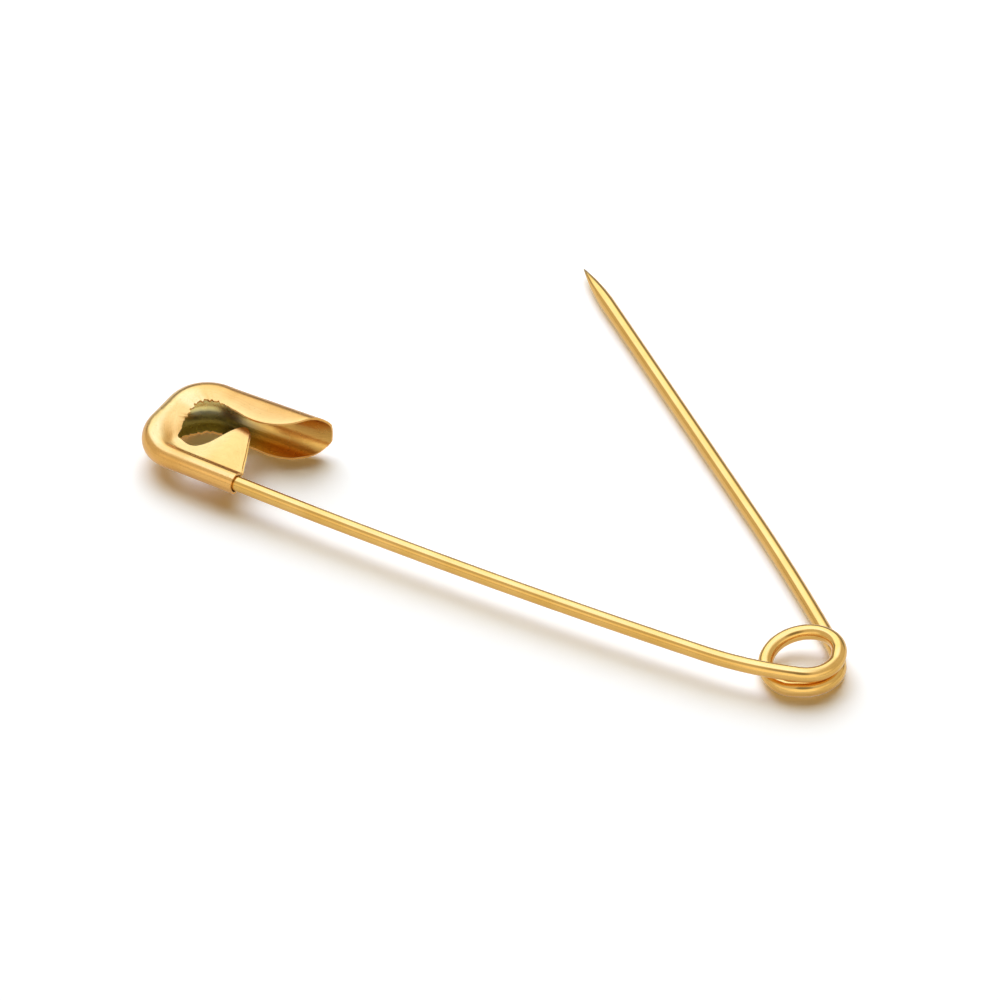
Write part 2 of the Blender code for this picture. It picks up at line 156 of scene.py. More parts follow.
# Finishes: scales of the plating's clouds and specks and the specks' amount, scales of the
# grain and the waves and the grain's share, scales and share of the lines, depth of the bump
FINISHES = {
    "gold_plated_wire": (
        (260.0, 9000.0, 0.2), (9000.0, 700.0, 0.25), (9000.0, 9000.0, 90.0), 0.5, 0.000004),
    "gold_plated_sheet": (
        (330.0, 7500.0, 0.4), (6500.0, 420.0, 0.35), (260.0, 5200.0, 5200.0), 0.45, 0.000012),
    "inner_side_of_sheet": (
        (500.0, 7500.0, 0.3), (6500.0, 420.0, 0.35), (260.0, 5200.0, 5200.0), 0.6, 0.000012),
    "cut_sheet_edge": (
        (900.0, 9000.0, 0.4), (9000.0, 1500.0, 0.5), (5200.0, 900.0, 900.0), 0.3, 0.00001),
}
SHARP_ANGLE = radians(40.0)
SPECK_TINT = (0.72, 0.66, 0.55, 1.0)
STREAK_TINT = (0.90, 0.86, 0.80, 1.0)
SMOOTHEST, ROUGHEST = 0.85, 1.25    # shares of the roughness in the plating's clouds
GROUND_THICKNESS = (0.05, 0.45)     # shares of the wire's thickness at the point
GROUND_WEAR = (0.8, 0.0)
GROUND_TONE = (0.46, 0.38, 0.24, 1.0)
# Painted shade: the inner side's gold a little darker in the trough
INNER_GOLD_SHADE_TINT = (0.91, 0.96, 0.86, 1.0)
# Painted shade behind the window: olive near the fold, darker further in
INNER_SHADE_NEAR_FOLD = (0.72, 0.62, 0.24, 1.0)
INNER_SHADE_DEEP_IN = (0.34, 0.31, 0.18, 1.0)
EDGE_ROUGHER = 1.2

# Camera, fitted to the photograph
PHOTO_SIZE = 1000
FOCAL_PIXELS = 11700.0
CAMERA_DISTANCE = 0.9
CAMERA_TURN = radians(32.1)
CAMERA_RISE = radians(39.0)
SEEN_AT = (802.38, 658.85)      # pixel where a point on the coil's axis shows
SEEN_HEIGHT = 0.00143

# Light
SOFT_TINT = (1.0, 0.62, 0.25, 1.0)
SOFT_STRENGTH = 0.2
PAPER_TONE = (0.5, 0.5, 0.5, 1.0)
PAPER_SEEN_TONE = (1.2, 1.2, 1.2, 1.0)
PAPER_MIRRORED = 0.42
FLOOR_FADE = (0.07, 0.16)       # distances from the pin between which the floor turns white
LAMP_HEIGHT = 1.5
LAMP_BEHIND = 0.9               # distances from overhead, as shares of the lamp's height
LAMP_ASIDE = -0.15
LAMP_SIZE = 1.5
LAMP_TINT = (0.60, 0.72, 1.0)
WIDE_LAMP_SIZE = 2.6
WIDE_LAMP_TINT = (0.93, 1.0, 0.95)

# Light tent: each pair goes from where a part of it begins to where it is full. The softbox
# and the dim strip are placed by distances from overhead, as shares of the height, and the
# rest by parts of the direction.
TENT_SHARE = 0.45               # the tent's radius, as a share of the floor's width
LEAST_HEIGHT = 0.001
SOFTBOX_SLANT = 0.7
SOFTBOX_LEFT = (-0.68, -0.42)
SOFTBOX_RIGHT = (0.65, 0.05)
SOFTBOX_FRONT = (-0.42, -0.12)
SOFTBOX_BACK = (2.8, 1.5)
SOFTBOX_TURNS = (0.6, 1.25)
SOFTBOX_OVERHEAD_TONE = (0.76, 1.0, 1.7, 1.0)
SOFTBOX_TONE = (0.80, 0.96, 1.2, 1.0)
WALL_TONE = (1.0, 0.98, 0.95, 1.0)
CARD_TOP = (0.66, 0.48)
CARD_FOOT = (0.06, 0.32)
CARD_AHEAD = (0.1, 0.45)
CARD_MIDDLE = (0.62, 0.9)
CARD_MIDDLE_SHARE = 0.28        # how much brighter the card is in its middle
DIM_STRIP = (1.9, 3.0)
DIM_AHEAD = (0.5, 0.8)
DIM_SHARE = 0.65
CAMERA_SHADE = (cos(radians(26.0)), cos(radians(9.0)))
CAMERA_SHADE_RISE = radians(51.0)
CAMERA_SHADE_SHARE = 0.58


# Settings

def length_setting(name, description, default, **limits):
    return FloatProperty(
        name=name, description=description, default=default, unit="LENGTH", precision=6,
        **limits)


def color_setting(name, description, default):
    return FloatVectorProperty(
        name=name, description=description, subtype="COLOR", size=3, default=default,
        min=0.0, max=1.0)


class SAFETYPIN_PG_wire(bpy.types.PropertyGroup):
    """Sizes and colours of the wire"""

    diameter: length_setting(
        "Wire diameter", "Diameter of the spring wire", 0.0012, min=0.0002)
    coil_radius: length_setting(
        "Coil radius", "From the coil's axis to the middle of the wire", 0.00282, min=0.001)
    opening: FloatProperty(
        name="Opening angle", description="Between the pin arm and the back arm's crimped end",
        default=radians(35.5), min=0.0, max=radians(80.0), subtype="ANGLE")
    reach: length_setting(
        "Pin reach", "From the coil's axis to the point, along the pin arm", 0.0524, min=0.02)
    sides: IntProperty(
        name="Sides", description="Faces round the wire", default=40, min=8, max=96)
    gold: color_setting("Gold", "Colour of the plating on the wire", (0.87, 0.53, 0.155))
    deep_gold: color_setting(
        "Deep gold", "Colour where the plating lies thicker", (0.80, 0.47, 0.115))
    polish: FloatProperty(
        name="Roughness", description="Roughness of the drawn and plated wire",
        default=0.13, min=0.0, max=1.0, subtype="FACTOR")


class SAFETYPIN_PG_cap(bpy.types.PropertyGroup):
    """Sizes and colours of the folded cap"""

    sheet: length_setting("Sheet", "Thickness of the sheet", 0.00018, min=0.00005)
    width: length_setting(
        "Cap width", "From the tube's outer side to the trough's fold", 0.00986, min=0.005)
    far_end: length_setting(
        "Far end", "From the coil's axis to the far end of the cap", 0.0581, min=0.05)
    wrinkle: length_setting(
        "Wrinkle", "Depth of the wrinkles beside the torn edge of the window", 0.000018,
        min=0.0, max=0.0001)
    gold: color_setting("Gold", "Colour of the plating on the sheet", (0.87, 0.49, 0.145))
    deep_gold: color_setting(
        "Deep gold", "Colour where the plating lies thicker", (0.80, 0.43, 0.11))
    # Painted highlight on the bend's ridge, top and corner
    highlight_gold: color_setting(
        "Pale gold", "Colour of the painted highlight on the bend", (0.88, 0.58, 0.215))
    # Painted shade on the trough's front
    shaded_trough_gold: color_setting(
        "Trough gold", "Colour of the painted shade on the trough's streaked front", (0.75, 0.39, 0.108))
    polish: FloatProperty(
        name="Roughness", description="Roughness of the pressed and plated sheet",
        default=0.24, min=0.0, max=1.0, subtype="FACTOR")


class SAFETYPIN_PG_stage(bpy.types.PropertyGroup):
    """Light and background"""

    floor_size: FloatProperty(
        name="Floor", description="Width of the pale floor", default=8.0, min=0.5, unit="LENGTH")
    lamp_power: FloatProperty(
        name="Lamp power", description="Power of the soft light overhead", default=22.0,
        min=0.0, unit="POWER")
    wide_lamp_power: FloatProperty(
        name="Wide lamp power", description="Power of the wider light round it", default=66.0,
        min=0.0, unit="POWER")
    softbox: FloatProperty(
        name="Softbox", description="Brightness of the soft light as the metal mirrors it",
        default=1.87, min=0.0)
    card: FloatProperty(
        name="Front card", description="Brightness of the low card as the metal mirrors it",
        default=1.25, min=0.0)
    walls: FloatProperty(
        name="Walls", description="Brightness of the tent's walls as the metal mirrors them",
        default=0.72, min=0.0)


# Shapes shared by the wire and the cap

def smooth(x):
    x = min(max(x, 0.0), 1.0)
    return x * x * (3.0 - 2.0 * x)


def heading_vector(heading):
    return Vector((cos(heading), sin(heading)))


def on_arc(centre, radius, heading):
    """Point of an anticlockwise arc where the wire heads this way."""
    return centre + radius * Vector((sin(heading), -cos(heading)))


def wire_levels():
    """Heights of the middle of the wire: lower pass, upper pass."""
    lower = bpy.context.scene.safetypin_wire.diameter / 2
    return lower, lower + COIL_PITCH


def coil_arcs():
    """The coil between its easy bends: start and end headings, centre and radius of each arc."""
    wire = bpy.context.scene.safetypin_wire
    middle = Vector((0.0, 0.0))
    begins = BACK_BOW_ANGLE + LEAD_IN_ANGLE
    leaves = 3 * pi - wire.opening - PIN_BOW_ANGLE
    ends = leaves - LEAD_OUT_ANGLE
    lead_in = on_arc(middle, wire.coil_radius - LEAD_IN_RADIUS, begins)
    lead_out = on_arc(middle, wire.coil_radius - LEAD_OUT_RADIUS, ends)
    return (
        (BACK_BOW_ANGLE, begins, lead_in, LEAD_IN_RADIUS),
        (begins, ends, middle, wire.coil_radius),
        (ends, leaves, lead_out, LEAD_OUT_RADIUS),
    )


def coil_point(heading):
    """Middle of the wire on the coil or its easy bends, where the wire heads this way."""
    arcs = coil_arcs()
    level_until = arcs[1][1] - 2 * pi
    drop = smooth((heading - level_until) / (2 * pi - level_until))
    level = wire_levels()[1] - COIL_PITCH * drop
    from_start, to_end = heading - arcs[0][0], arcs[-1][1] - heading
    level -= (COIL_SQUEEZE * smooth(from_start / SQUEEZE_EASE)
              * smooth((level_until - heading) / SQUEEZE_FADE))
    level += (COIL_SQUEEZE * smooth((heading - 2 * pi) / SQUEEZE_FADE)
              * smooth(to_end / SQUEEZE_EASE))
    centre, radius = next((arc[2:] for arc in arcs if heading <= arc[1]), arcs[-1][2:])
    return Vector((*on_arc(centre, radius, heading), level))


def coil_run(start, end):
    """Points on the coil between two headings, both ends included."""
    count = max(2, round((end - start) / ARC_STEP))
    return [coil_point(start + (end - start) * i / count) for i in range(count + 1)]


def back_bow():
    """Centre and radius of the back arm's bow, from the tube's end to the coil's entry."""
    wire = bpy.context.scene.safetypin_wire
    straight = wire.diameter + SEAM_GAP
    near = coil_point(BACK_BOW_ANGLE).to_2d() - heading_vector(BACK_BOW_ANGLE) * straight
    radius = (near.x + TUBE_END) / sin(BACK_BOW_ANGLE)
    return on_arc(near, -radius, BACK_BOW_ANGLE), radius


def arm_line():
    """Distance of the crimped end's middle line from the coil's axis, on the -Y side."""
    centre, radius = back_bow()
    return radius - centre.y


def in_place(point):
    """From the coil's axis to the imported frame."""
    return Vector((point[0] + COIL_AXIS.x, point[1] + COIL_AXIS.y, point[2]))


def place_object(name, data):
    """An object in the scene."""
    made = bpy.data.objects.new(name, data)
    bpy.context.scene.collection.objects.link(made)
    return made


def plain_object(carrier, name):
    """The plain mesh that a carrier's modifier makes, in an object of its own."""
    graph = bpy.context.evaluated_depsgraph_get()
    mesh = bpy.data.meshes.new_from_object(carrier.evaluated_get(graph), depsgraph=graph)
    source = carrier.data
    bpy.data.objects.remove(carrier)
    bpy.data.meshes.remove(source)
    mesh.name = name
    mesh.set_sharp_from_angle(angle=SHARP_ANGLE)
    return place_object(name, mesh)


# Nodes

def feed(tree, node, inputs):
    """Set a node's inputs to values, or join them to the sockets that feed them."""
    for name, value in inputs.items():
        if isinstance(value, bpy.types.NodeSocket):
            tree.links.new(value, node.inputs[name])
        else:
            node.inputs[name].default_value = value


def new_node(tree, kind, label="", inputs=None, **properties):
    """A node whose properties are set first, because some sockets depend on them."""
    made = tree.nodes.new(kind)
    made.label = label
    for name, value in properties.items():
        setattr(made, name, value)
    feed(tree, made, inputs or {})
    return made


def new_group(name, kind, inputs, outputs):
    """A node group with named sockets, and what its inputs give."""
    tree = bpy.data.node_groups.new(name, kind)
    for direction, sockets in (("INPUT", inputs), ("OUTPUT", outputs)):
        for socket, (value_kind, *default) in sockets.items():
            made = tree.interface.new_socket(
                name=socket, in_out=direction, socket_type="NodeSocket" + value_kind)
            if default:
                made.default_value = default[0]
    return tree, new_node(tree, "NodeGroupInput").outputs


def math(tree, operation, *terms, label=""):
    return new_node(
        tree, "ShaderNodeMath", label, dict(enumerate(terms)), operation=operation).outputs[0]


def ramp(tree, value, ends, label="", kind="LINEAR", to=(0.0, 1.0)):
    """Goes from 0 to 1, or between two other numbers, as a value goes between two ends."""
    return new_node(tree, "ShaderNodeMapRange", label, {
        "Value": value, "From Min": ends[0], "From Max": ends[1],
        "To Min": to[0], "To Max": to[1]}, interpolation_type=kind).outputs["Result"]


def eased_ramp(tree, value, ends, label=""):
    return ramp(tree, value, ends, label, "SMOOTHSTEP")


def mix(tree, factor, first, second, label="", data_type="RGBA", **properties):
    return new_node(tree, "ShaderNodeMix", label, {"Factor": factor, "A": first, "B": second},
                    data_type=data_type, **properties).outputs["Result"]


def tinted(tree, factor, color, tint, label):
    """A colour multiplied by a tint, as far as the factor says."""
    return mix(tree, factor, color, tint, label, blend_type="MULTIPLY")


def noise(tree, place, scale, detail, label):
    return new_node(tree, "ShaderNodeTexNoise", label, {
        "Vector": place, "Scale": scale, "Detail": detail}).outputs["Fac"]


def apart(tree, vector):
    return new_node(tree, "ShaderNodeSeparateXYZ", inputs={"Vector": vector}).outputs


# Surface detail shared by the finishes

def plating_tone_group():
    """Clouds of deeper colour and small specks in the plating."""
    tree, put = new_group("plating_tone", "ShaderNodeTree", {
        "Place": ("Vector",),
        "Light tone": ("Color", (0.87, 0.55, 0.16, 1.0)),
        "Deep tone": ("Color", (0.80, 0.47, 0.12, 1.0)),
        "Cloud scale": ("Float", 350.0),
        "Speck scale": ("Float", 9000.0),
        "Speck amount": ("Float", 0.25),
    }, {"Color": ("Color",), "Cloud": ("Float",)})
    clouds = noise(tree, put["Place"], put["Cloud scale"], 3.0, "Clouds")
    cloud = ramp(tree, clouds, (0.35, 0.65), "Cloud contrast")
    tone = mix(tree, cloud, put["Light tone"], put["Deep tone"], "Tone")
    specks = noise(tree, put["Place"], put["Speck scale"], 1.0, "Specks")
    picked = ramp(tree, specks, (0.58, 0.75), "Speck mask")
    amount = math(tree, "MULTIPLY", picked, put["Speck amount"], label="Speck amount")
    new_node(tree, "NodeGroupOutput", inputs={
        "Color": tinted(tree, amount, tone, SPECK_TINT, "Specked"), "Cloud": cloud})
    return tree


def draw_lines_group():
    """Fine lines left by drawing or pressing, long in one direction."""
    tree, put = new_group("draw_lines", "ShaderNodeTree", {
        "Place": ("Vector",),
        "Across scale": ("Vector", (12000.0, 12000.0, 120.0)),
        "Detail": ("Float", 3.0),
    }, {"Height": ("Float",), "Lines": ("Float",)})
    stretch = new_node(tree, "ShaderNodeVectorMath", "Stretch", {
        0: put["Place"], 1: put["Across scale"]}, operation="MULTIPLY")
    lines = noise(tree, stretch.outputs["Vector"], 1.0, put["Detail"], "Lines")
    new_node(tree, "NodeGroupOutput", inputs={
        "Height": lines, "Lines": ramp(tree, lines, (0.38, 0.62), "Line contrast")})
    return tree


def fine_grain_group():
    """Satin grain and soft unevenness of the metal's surface."""
    tree, put = new_group("fine_grain", "ShaderNodeTree", {
        "Place": ("Vector",),
        "Grain scale": ("Float", 7000.0),
        "Wave scale": ("Float", 500.0),
        "Grain share": ("Float", 0.3),
    }, {"Height": ("Float",)})
    grain = noise(tree, put["Place"], put["Grain scale"], 2.0, "Grain")
    wave = noise(tree, put["Place"], put["Wave scale"], 1.0, "Waves")
    height = mix(tree, put["Grain share"], wave, grain, "Grain on waves", "FLOAT")
    new_node(tree, "NodeGroupOutput", inputs={"Height": height})
    return tree


SHARED_GROUPS = {
    "plating_tone": plating_tone_group,
    "draw_lines": draw_lines_group,
    "fine_grain": fine_grain_group,
}


def place_group(tree, name, inputs):
    """What one of the shared groups gives. Each group is built once."""
    group = bpy.data.node_groups.get(name) or SHARED_GROUPS[name]()
    return new_node(
        tree, "ShaderNodeGroup", name.replace("_", " "), inputs, node_tree=group).outputs


def plated_metal(name, settings, place_name, roughness):
    """Gold plate on metal, with its clouds, specks, working lines and grain: the material, its
    colour and the place along the metal."""
    tone, grain, line_scale, line_share, bump_depth = FINISHES[name]
    made = bpy.data.materials.new(name)
    made.use_nodes = True
    tree = made.node_tree
    spot = new_node(tree, "ShaderNodeTexCoord").outputs["Object"]
    along = new_node(tree, "ShaderNodeAttribute", "Place along the metal",
                     attribute_name=place_name).outputs["Vector"]
    plating = place_group(tree, "plating_tone", {
        "Place": spot, "Light tone": (*settings.gold, 1.0),
        "Deep tone": (*settings.deep_gold, 1.0), "Cloud scale": tone[0],
        "Speck scale": tone[1], "Speck amount": tone[2]})
    worked = place_group(tree, "draw_lines", {"Place": along, "Across scale": line_scale})
    satin = place_group(tree, "fine_grain", {
        "Place": spot, "Grain scale": grain[0], "Wave scale": grain[1],
        "Grain share": grain[2]})
    streaks = math(tree, "MULTIPLY", worked["Lines"], line_share, label="Streak share")
    dull = ramp(tree, plating["Cloud"], (0.0, 1.0), "Roughness",
                to=(roughness * SMOOTHEST, roughness * ROUGHEST))
    relief = mix(tree, 0.5, satin["Height"], worked["Height"], "Lines on grain", "FLOAT")
    bump = new_node(tree, "ShaderNodeBump", inputs={
        "Strength": 1.0, "Distance": bump_depth, "Height": relief})
    feed(tree, tree.nodes["Principled BSDF"], {
        "Metallic": 1.0, "Roughness": dull, "Normal": bump.outputs["Normal"]})
    color = tinted(tree, streaks, plating["Color"], STREAK_TINT, "Streaked")
    return show_color(made, color), color, along


def show_color(material, color):
    """The material, whose shader now has this colour."""
    tree = material.node_tree
    feed(tree, tree.nodes["Principled BSDF"], {"Base Color": color})
    return material


def wire_finish(settings):
    """Polished drawn wire, a little greyer where the point is ground."""
    made, color, _ = plated_metal(
        "gold_plated_wire", settings, "wire_place", settings.polish)
    tree = made.node_tree
    thickness = new_node(tree, "ShaderNodeAttribute", "Thickness of the wire",
                         attribute_name="thickness").outputs["Fac"]
    ground = ramp(tree, thickness, GROUND_THICKNESS, "Ground point", to=GROUND_WEAR)
    return show_color(made, mix(tree, ground, color, GROUND_TONE, "Worn plating"))


def place_mask(tree, value, rises, falls, label=""):
    """1 between two smooth ends along the sheet: where it rises, and where it falls."""
    ends = (eased_ramp(tree, value, end) for end in (rises, falls))
    return math(tree, "MULTIPLY", *ends, label=label)


def sheet_finish(settings):
    """Satin pressed sheet with lines along the fold, and patches of painted highlight on the bend
    and painted shade on the trough's front.
    """
    made, shown, along = plated_metal(
        "gold_plated_sheet", settings, "sheet_place", settings.polish)
    tree = made.node_tree
    place = apart(tree, along)
    for label, tone, along_ends, across_ends in HIGHLIGHT_AND_SHADE_PATCHES:
        mask = math(tree, "MULTIPLY", place_mask(tree, place["X"], *along_ends),
                    place_mask(tree, place["Y"], *across_ends), label=label)
        # Each patch paints a highlight or a shade into the sheet's colour
        tint = [a / b for a, b in zip(getattr(settings, tone), settings.gold)]
        toned = tinted(tree, 1.0, shown, (*tint, 1.0), label)
        shown = mix(tree, mask, shown, toned, label)
    return show_color(made, shown)


def inner_sheet_finish(settings):
    """The cap's inner side: gold with a little painted shade in the trough, and painted shade,
    dull and greyish, in behind the window.
    """
    made, gold, along = plated_metal(
        "inner_side_of_sheet", settings, "sheet_place", settings.polish)
    tree = made.node_tree
    place = apart(tree, along)
    deep = eased_ramp(tree, place["Y"], INNER_SHADE_IN_FROM_FOLD, "In from the fold")
    # Painted shade behind the window, darker in from the fold
    dull = mix(tree, deep, INNER_SHADE_NEAR_FOLD, INNER_SHADE_DEEP_IN, "Painted shade behind the window")
    bend = place_mask(tree, place["X"], *INNER_SHADE_ALONG_BEND, label="Round the bend")
    # Painted shade: the inner side's gold a little darker in the trough
    shaded_inner_gold = tinted(tree, 1.0, gold, INNER_GOLD_SHADE_TINT, "Painted shade in the trough")
    return show_color(made, mix(tree, bend, shaded_inner_gold, dull, "Inner side"))


def cut_edge_finish(settings):
    """The sheet's cut edge: rougher than its faces."""
    roughness = settings.polish * EDGE_ROUGHER
    return plated_metal("cut_sheet_edge", settings, "sheet_place", roughness)[0]


# Wire

def swept_wire_tree():
    """Sweep a round section along a path whose points carry the wire's thickness."""
    tree, put = new_group("swept_wire", "GeometryNodeTree", {
        "Path": ("Geometry",),
        "Wire diameter": ("Float", 0.0012),
        "Sides": ("Int", 40),
        "Begins at": ("Float", 0.0),
        "Finish": ("Material",),
    }, {"Wire": ("Geometry",)})

    def captured(curve, kind, name, value, label):
        made = new_node(tree, "GeometryNodeCaptureAttribute", label, domain="POINT")
        made.capture_items.new(kind, name)
        feed(tree, made, {"Geometry": curve, name: value})
        return made.outputs

    path = new_node(tree, "GeometryNodeMeshToCurve", "Path", {"Mesh": put["Path"]})
    level = new_node(tree, "GeometryNodeSetCurveNormal", "Keep upright", {
        "Curve": path.outputs["Curve"]}, mode="Z_UP")
    here = new_node(tree, "GeometryNodeSplineParameter")
    length = captured(
        level.outputs["Curve"], "FLOAT", "Along", here.outputs["Length"], "Length along")
    radius = math(tree, "DIVIDE", put["Wire diameter"], 2.0, label="Radius")
    circle = new_node(tree, "GeometryNodeCurvePrimitiveCircle", "Section", {
        "Resolution": put["Sides"], "Radius": radius}, mode="RADIUS")
    spot = new_node(tree, "GeometryNodeInputPosition")
    section = captured(
        circle.outputs["Curve"], "VECTOR", "Round", spot.outputs["Position"], "Place round")
    thick = new_node(tree, "GeometryNodeInputNamedAttribute", inputs={"Name": "thickness"},
                     data_type="FLOAT")
    sweep = new_node(tree, "GeometryNodeCurveToMesh", "Sweep", {
        "Curve": length["Geometry"], "Profile Curve": section["Geometry"],
        "Scale": thick.outputs["Attribute"], "Fill Caps": True})
    round_place = apart(tree, section["Round"])
    shifted = math(tree, "ADD", length["Along"], put["Begins at"], label="From the wire's start")
    place = new_node(tree, "ShaderNodeCombineXYZ", inputs={
        "X": round_place["X"], "Y": round_place["Y"], "Z": shifted})
    made = new_node(tree, "GeometryNodeStoreNamedAttribute", inputs={
        "Geometry": sweep.outputs["Mesh"], "Name": "wire_place",
        "Value": place.outputs["Vector"]}, data_type="FLOAT_VECTOR")
    for step in ("GeometryNodeSetShadeSmooth", "GeometryNodeRealizeInstances",
                 "GeometryNodeSetMaterial"):
        made = new_node(tree, step, inputs={"Geometry": made.outputs["Geometry"]})
    feed(tree, made, {"Material": put["Finish"]})
    new_node(tree, "NodeGroupOutput", inputs={"Wire": made.outputs["Geometry"]})
    return tree


def path_length(points):
    return sum((b - a).length for a, b in zip(points, points[1:]))


def sweep_wire(name, points, shares, begins, finish):
    """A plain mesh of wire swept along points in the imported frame."""
    settings = bpy.context.scene.safetypin_wire
    path = bpy.data.meshes.new(name + "_path")
    edges = [(i, i + 1) for i in range(len(points) - 1)]
    path.from_pydata([in_place(p) for p in points], edges, [])
    thick = path.attributes.new("thickness", "FLOAT", "POINT")
    thick.data.foreach_set("value", shares)
    carrier = place_object(name + "_path", path)
    tree = bpy.data.node_groups.get("swept_wire") or swept_wire_tree()
    sweep = carrier.modifiers.new("swept_wire", "NODES")
    sweep.node_group = tree
    values = {
        "Wire diameter": settings.diameter,
        "Sides": settings.sides,
        "Begins at": begins,
        "Finish": finish,
    }
    for item in tree.interface.items_tree:
        if item.in_out == "INPUT" and item.name in values:
            sweep[item.identifier] = values[item.name]
    return plain_object(carrier, name)


def back_arm_points():
    """From inside the tube, along the bowed arm and into the coil's upper pass."""
    settings = bpy.context.scene.safetypin_cap
    upper = wire_levels()[1]
    centre, radius = back_bow()
    start = -(settings.far_end - LOWER_BEND_RADIUS - WIRE_SHORT_OF_BEND)
    straight = 40
    points = [
        Vector((start + (-TUBE_END - start) * i / straight, -arm_line(), upper))
        for i in range(straight)
    ]
    bow = 60
    for i in range(bow + 1):
        points.append(Vector((*on_arc(centre, radius, BACK_BOW_ANGLE * i / bow), upper)))
    return points + coil_run(BACK_BOW_ANGLE, WINDS_FROM)


def pin_arm_points():
    """From the coil's lower pass along the arm to the point, with the wire's thickness."""
    settings = bpy.context.scene.safetypin_wire
    lower = wire_levels()[0]
    leaves = coil_arcs()[-1][1]
    points = coil_run(WINDS_UNTIL, leaves)
    straight = settings.diameter + SEAM_GAP
    start = points[-1].to_2d() + heading_vector(leaves) * straight
    radius = PIN_BOW_LENGTH / PIN_BOW_ANGLE
    centre = on_arc(start, -radius, leaves)
    bow = 40
    for i in range(bow + 1):
        points.append(Vector((*on_arc(centre, radius, leaves + PIN_BOW_ANGLE * i / bow), lower)))
    ahead = heading_vector(3 * pi - settings.opening).to_3d()
    tip = points[-1] + ahead * (settings.reach - points[-1].dot(ahead))
    shoulder = tip - ahead * POINT_LENGTH
    run = 60
    last = points[-1]
    for i in range(1, run):
        points.append(last.lerp(shoulder, i / run))
    shares = [1.0] * len(points)
    rings = 48
    narrow = POINT_END_RADIUS / (settings.diameter / 2)
    for i in range(rings + 1):
        share = i / rings
        swell = 1.0 - share ** POINT_FULLNESS
        points.append(shoulder.lerp(tip, share))
        shares.append(narrow + (1.0 - narrow) * swell)
    return points, shares


class SAFETYPIN_OT_wire(bpy.types.Operator):
    """Sweep the wire: back arm, coil and pin arm"""

    bl_idname = "safetypin.wire"
    bl_label = "Wire"

    def execute(self, context):
        settings = context.scene.safetypin_wire
        finish = wire_finish(settings)
        back = back_arm_points()
        coil = coil_run(WINDS_FROM, WINDS_UNTIL)
        pin, shares = pin_arm_points()
        back_length, coil_length = path_length(back), path_length(coil)
        arm = sweep_wire("back_arm_wire", back, [1.0] * len(back), 0.0, finish)
        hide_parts("back_arm")
        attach(arm, "frame")
        turn = sweep_wire("coil_wire", coil, [1.0] * len(coil), back_length, finish)
        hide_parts("spring_coil")
        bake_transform(turn)
        point = sweep_wire("pin_arm_wire", pin, shares, back_length + coil_length, finish)
        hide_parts("pin_arm")
        leaves = coil_point(coil_arcs()[-1][1])
        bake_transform(point)
        if min(len(o.data.polygons) for o in (arm, turn, point)) < settings.sides:
            raise RuntimeError("the wire has no faces")
        return {"FINISHED"}


# Cap

def tube_radius():
    scene = bpy.context.scene
    return scene.safetypin_wire.diameter / 2 + CRIMP_GAP + scene.safetypin_cap.sheet


def cap_runs():
    """Lengths of the outline's runs: beside the web, round the bend in three, by the trough."""
    cap = bpy.context.scene.safetypin_cap
    beside_web = cap.far_end - LOWER_BEND_RADIUS - TUBE_END
    far_end = cap.width - LOWER_BEND_RADIUS - UPPER_BEND_RADIUS
    upper_turn = pi / 2 - TROUGH_FLARE
    bend = (LOWER_BEND_RADIUS * pi / 2, far_end, UPPER_BEND_RADIUS * upper_turn)
    turned_to = cap.far_end - UPPER_BEND_RADIUS * (1.0 - sin(TROUGH_FLARE))
    trough = (turned_to - CAP_MOUTH) / cos(TROUGH_FLARE)
    return beside_web, bend, trough


def outline_at(along):
    """Point of the cap's outline in plan: along the back arm, and out from its middle."""
    cap = bpy.context.scene.safetypin_cap
    beside_web, (lower, far_end, upper), _ = cap_runs()
    side = -tube_radius()
    if along <= beside_web:
        return Vector((TUBE_END + along, side))
    along -= beside_web
    centre = Vector((cap.far_end - LOWER_BEND_RADIUS, side + LOWER_BEND_RADIUS))
    if along <= lower:
        turned = along / LOWER_BEND_RADIUS
        return centre + Vector((sin(turned), -cos(turned))) * LOWER_BEND_RADIUS
    along -= lower
    if along <= far_end:
        return Vector((cap.far_end, centre.y + along))
    along -= far_end
    centre = Vector((cap.far_end - UPPER_BEND_RADIUS, centre.y + far_end))
    turned = min(along, upper) / UPPER_BEND_RADIUS
    out = Vector((cos(turned), sin(turned)))
    on = Vector((-out.y, out.x))
    return centre + out * UPPER_BEND_RADIUS + on * max(along - upper, 0.0)


def inward_at(along):
    """Direction in from the outline, which turns more slowly than the bends."""
    beside_web, (lower, far_end, upper), _ = cap_runs()
    first = lower + far_end / 2
    second = far_end / 2 + upper + FAN_LEAD
    past_web = along - beside_web
    turned = pi / 2 * min(max(past_web / first, 0.0), 1.0)
    turned += (pi / 2 - TROUGH_FLARE) * min(max((past_web - first) / second, 0.0), 1.0)
    return Vector((-sin(turned), cos(turned)))


def read_shares(shares, at):
    """Smooth curve through pairs of shares."""
    places = [place for place, _ in shares]
    i = max(k for k in range(len(shares) - 1) if k == 0 or places[k] <= at)

    def slope(k):
        before, after = max(k - 1, 0), min(k + 1, len(shares) - 1)
        return (shares[after][1] - shares[before][1]) / (places[after] - places[before])

    width = places[i + 1] - places[i]
    t = min(max((at - places[i]) / width, 0.0), 1.0)
    start, end = shares[i][1], shares[i + 1][1]
    return (
        start * (1.0 + 2.0 * t) * (1.0 - t) ** 2
        + slope(i) * width * t * (1.0 - t) ** 2
        + end * t * t * (3.0 - 2.0 * t)
        + slope(i + 1) * width * t * t * (t - 1.0)
    )


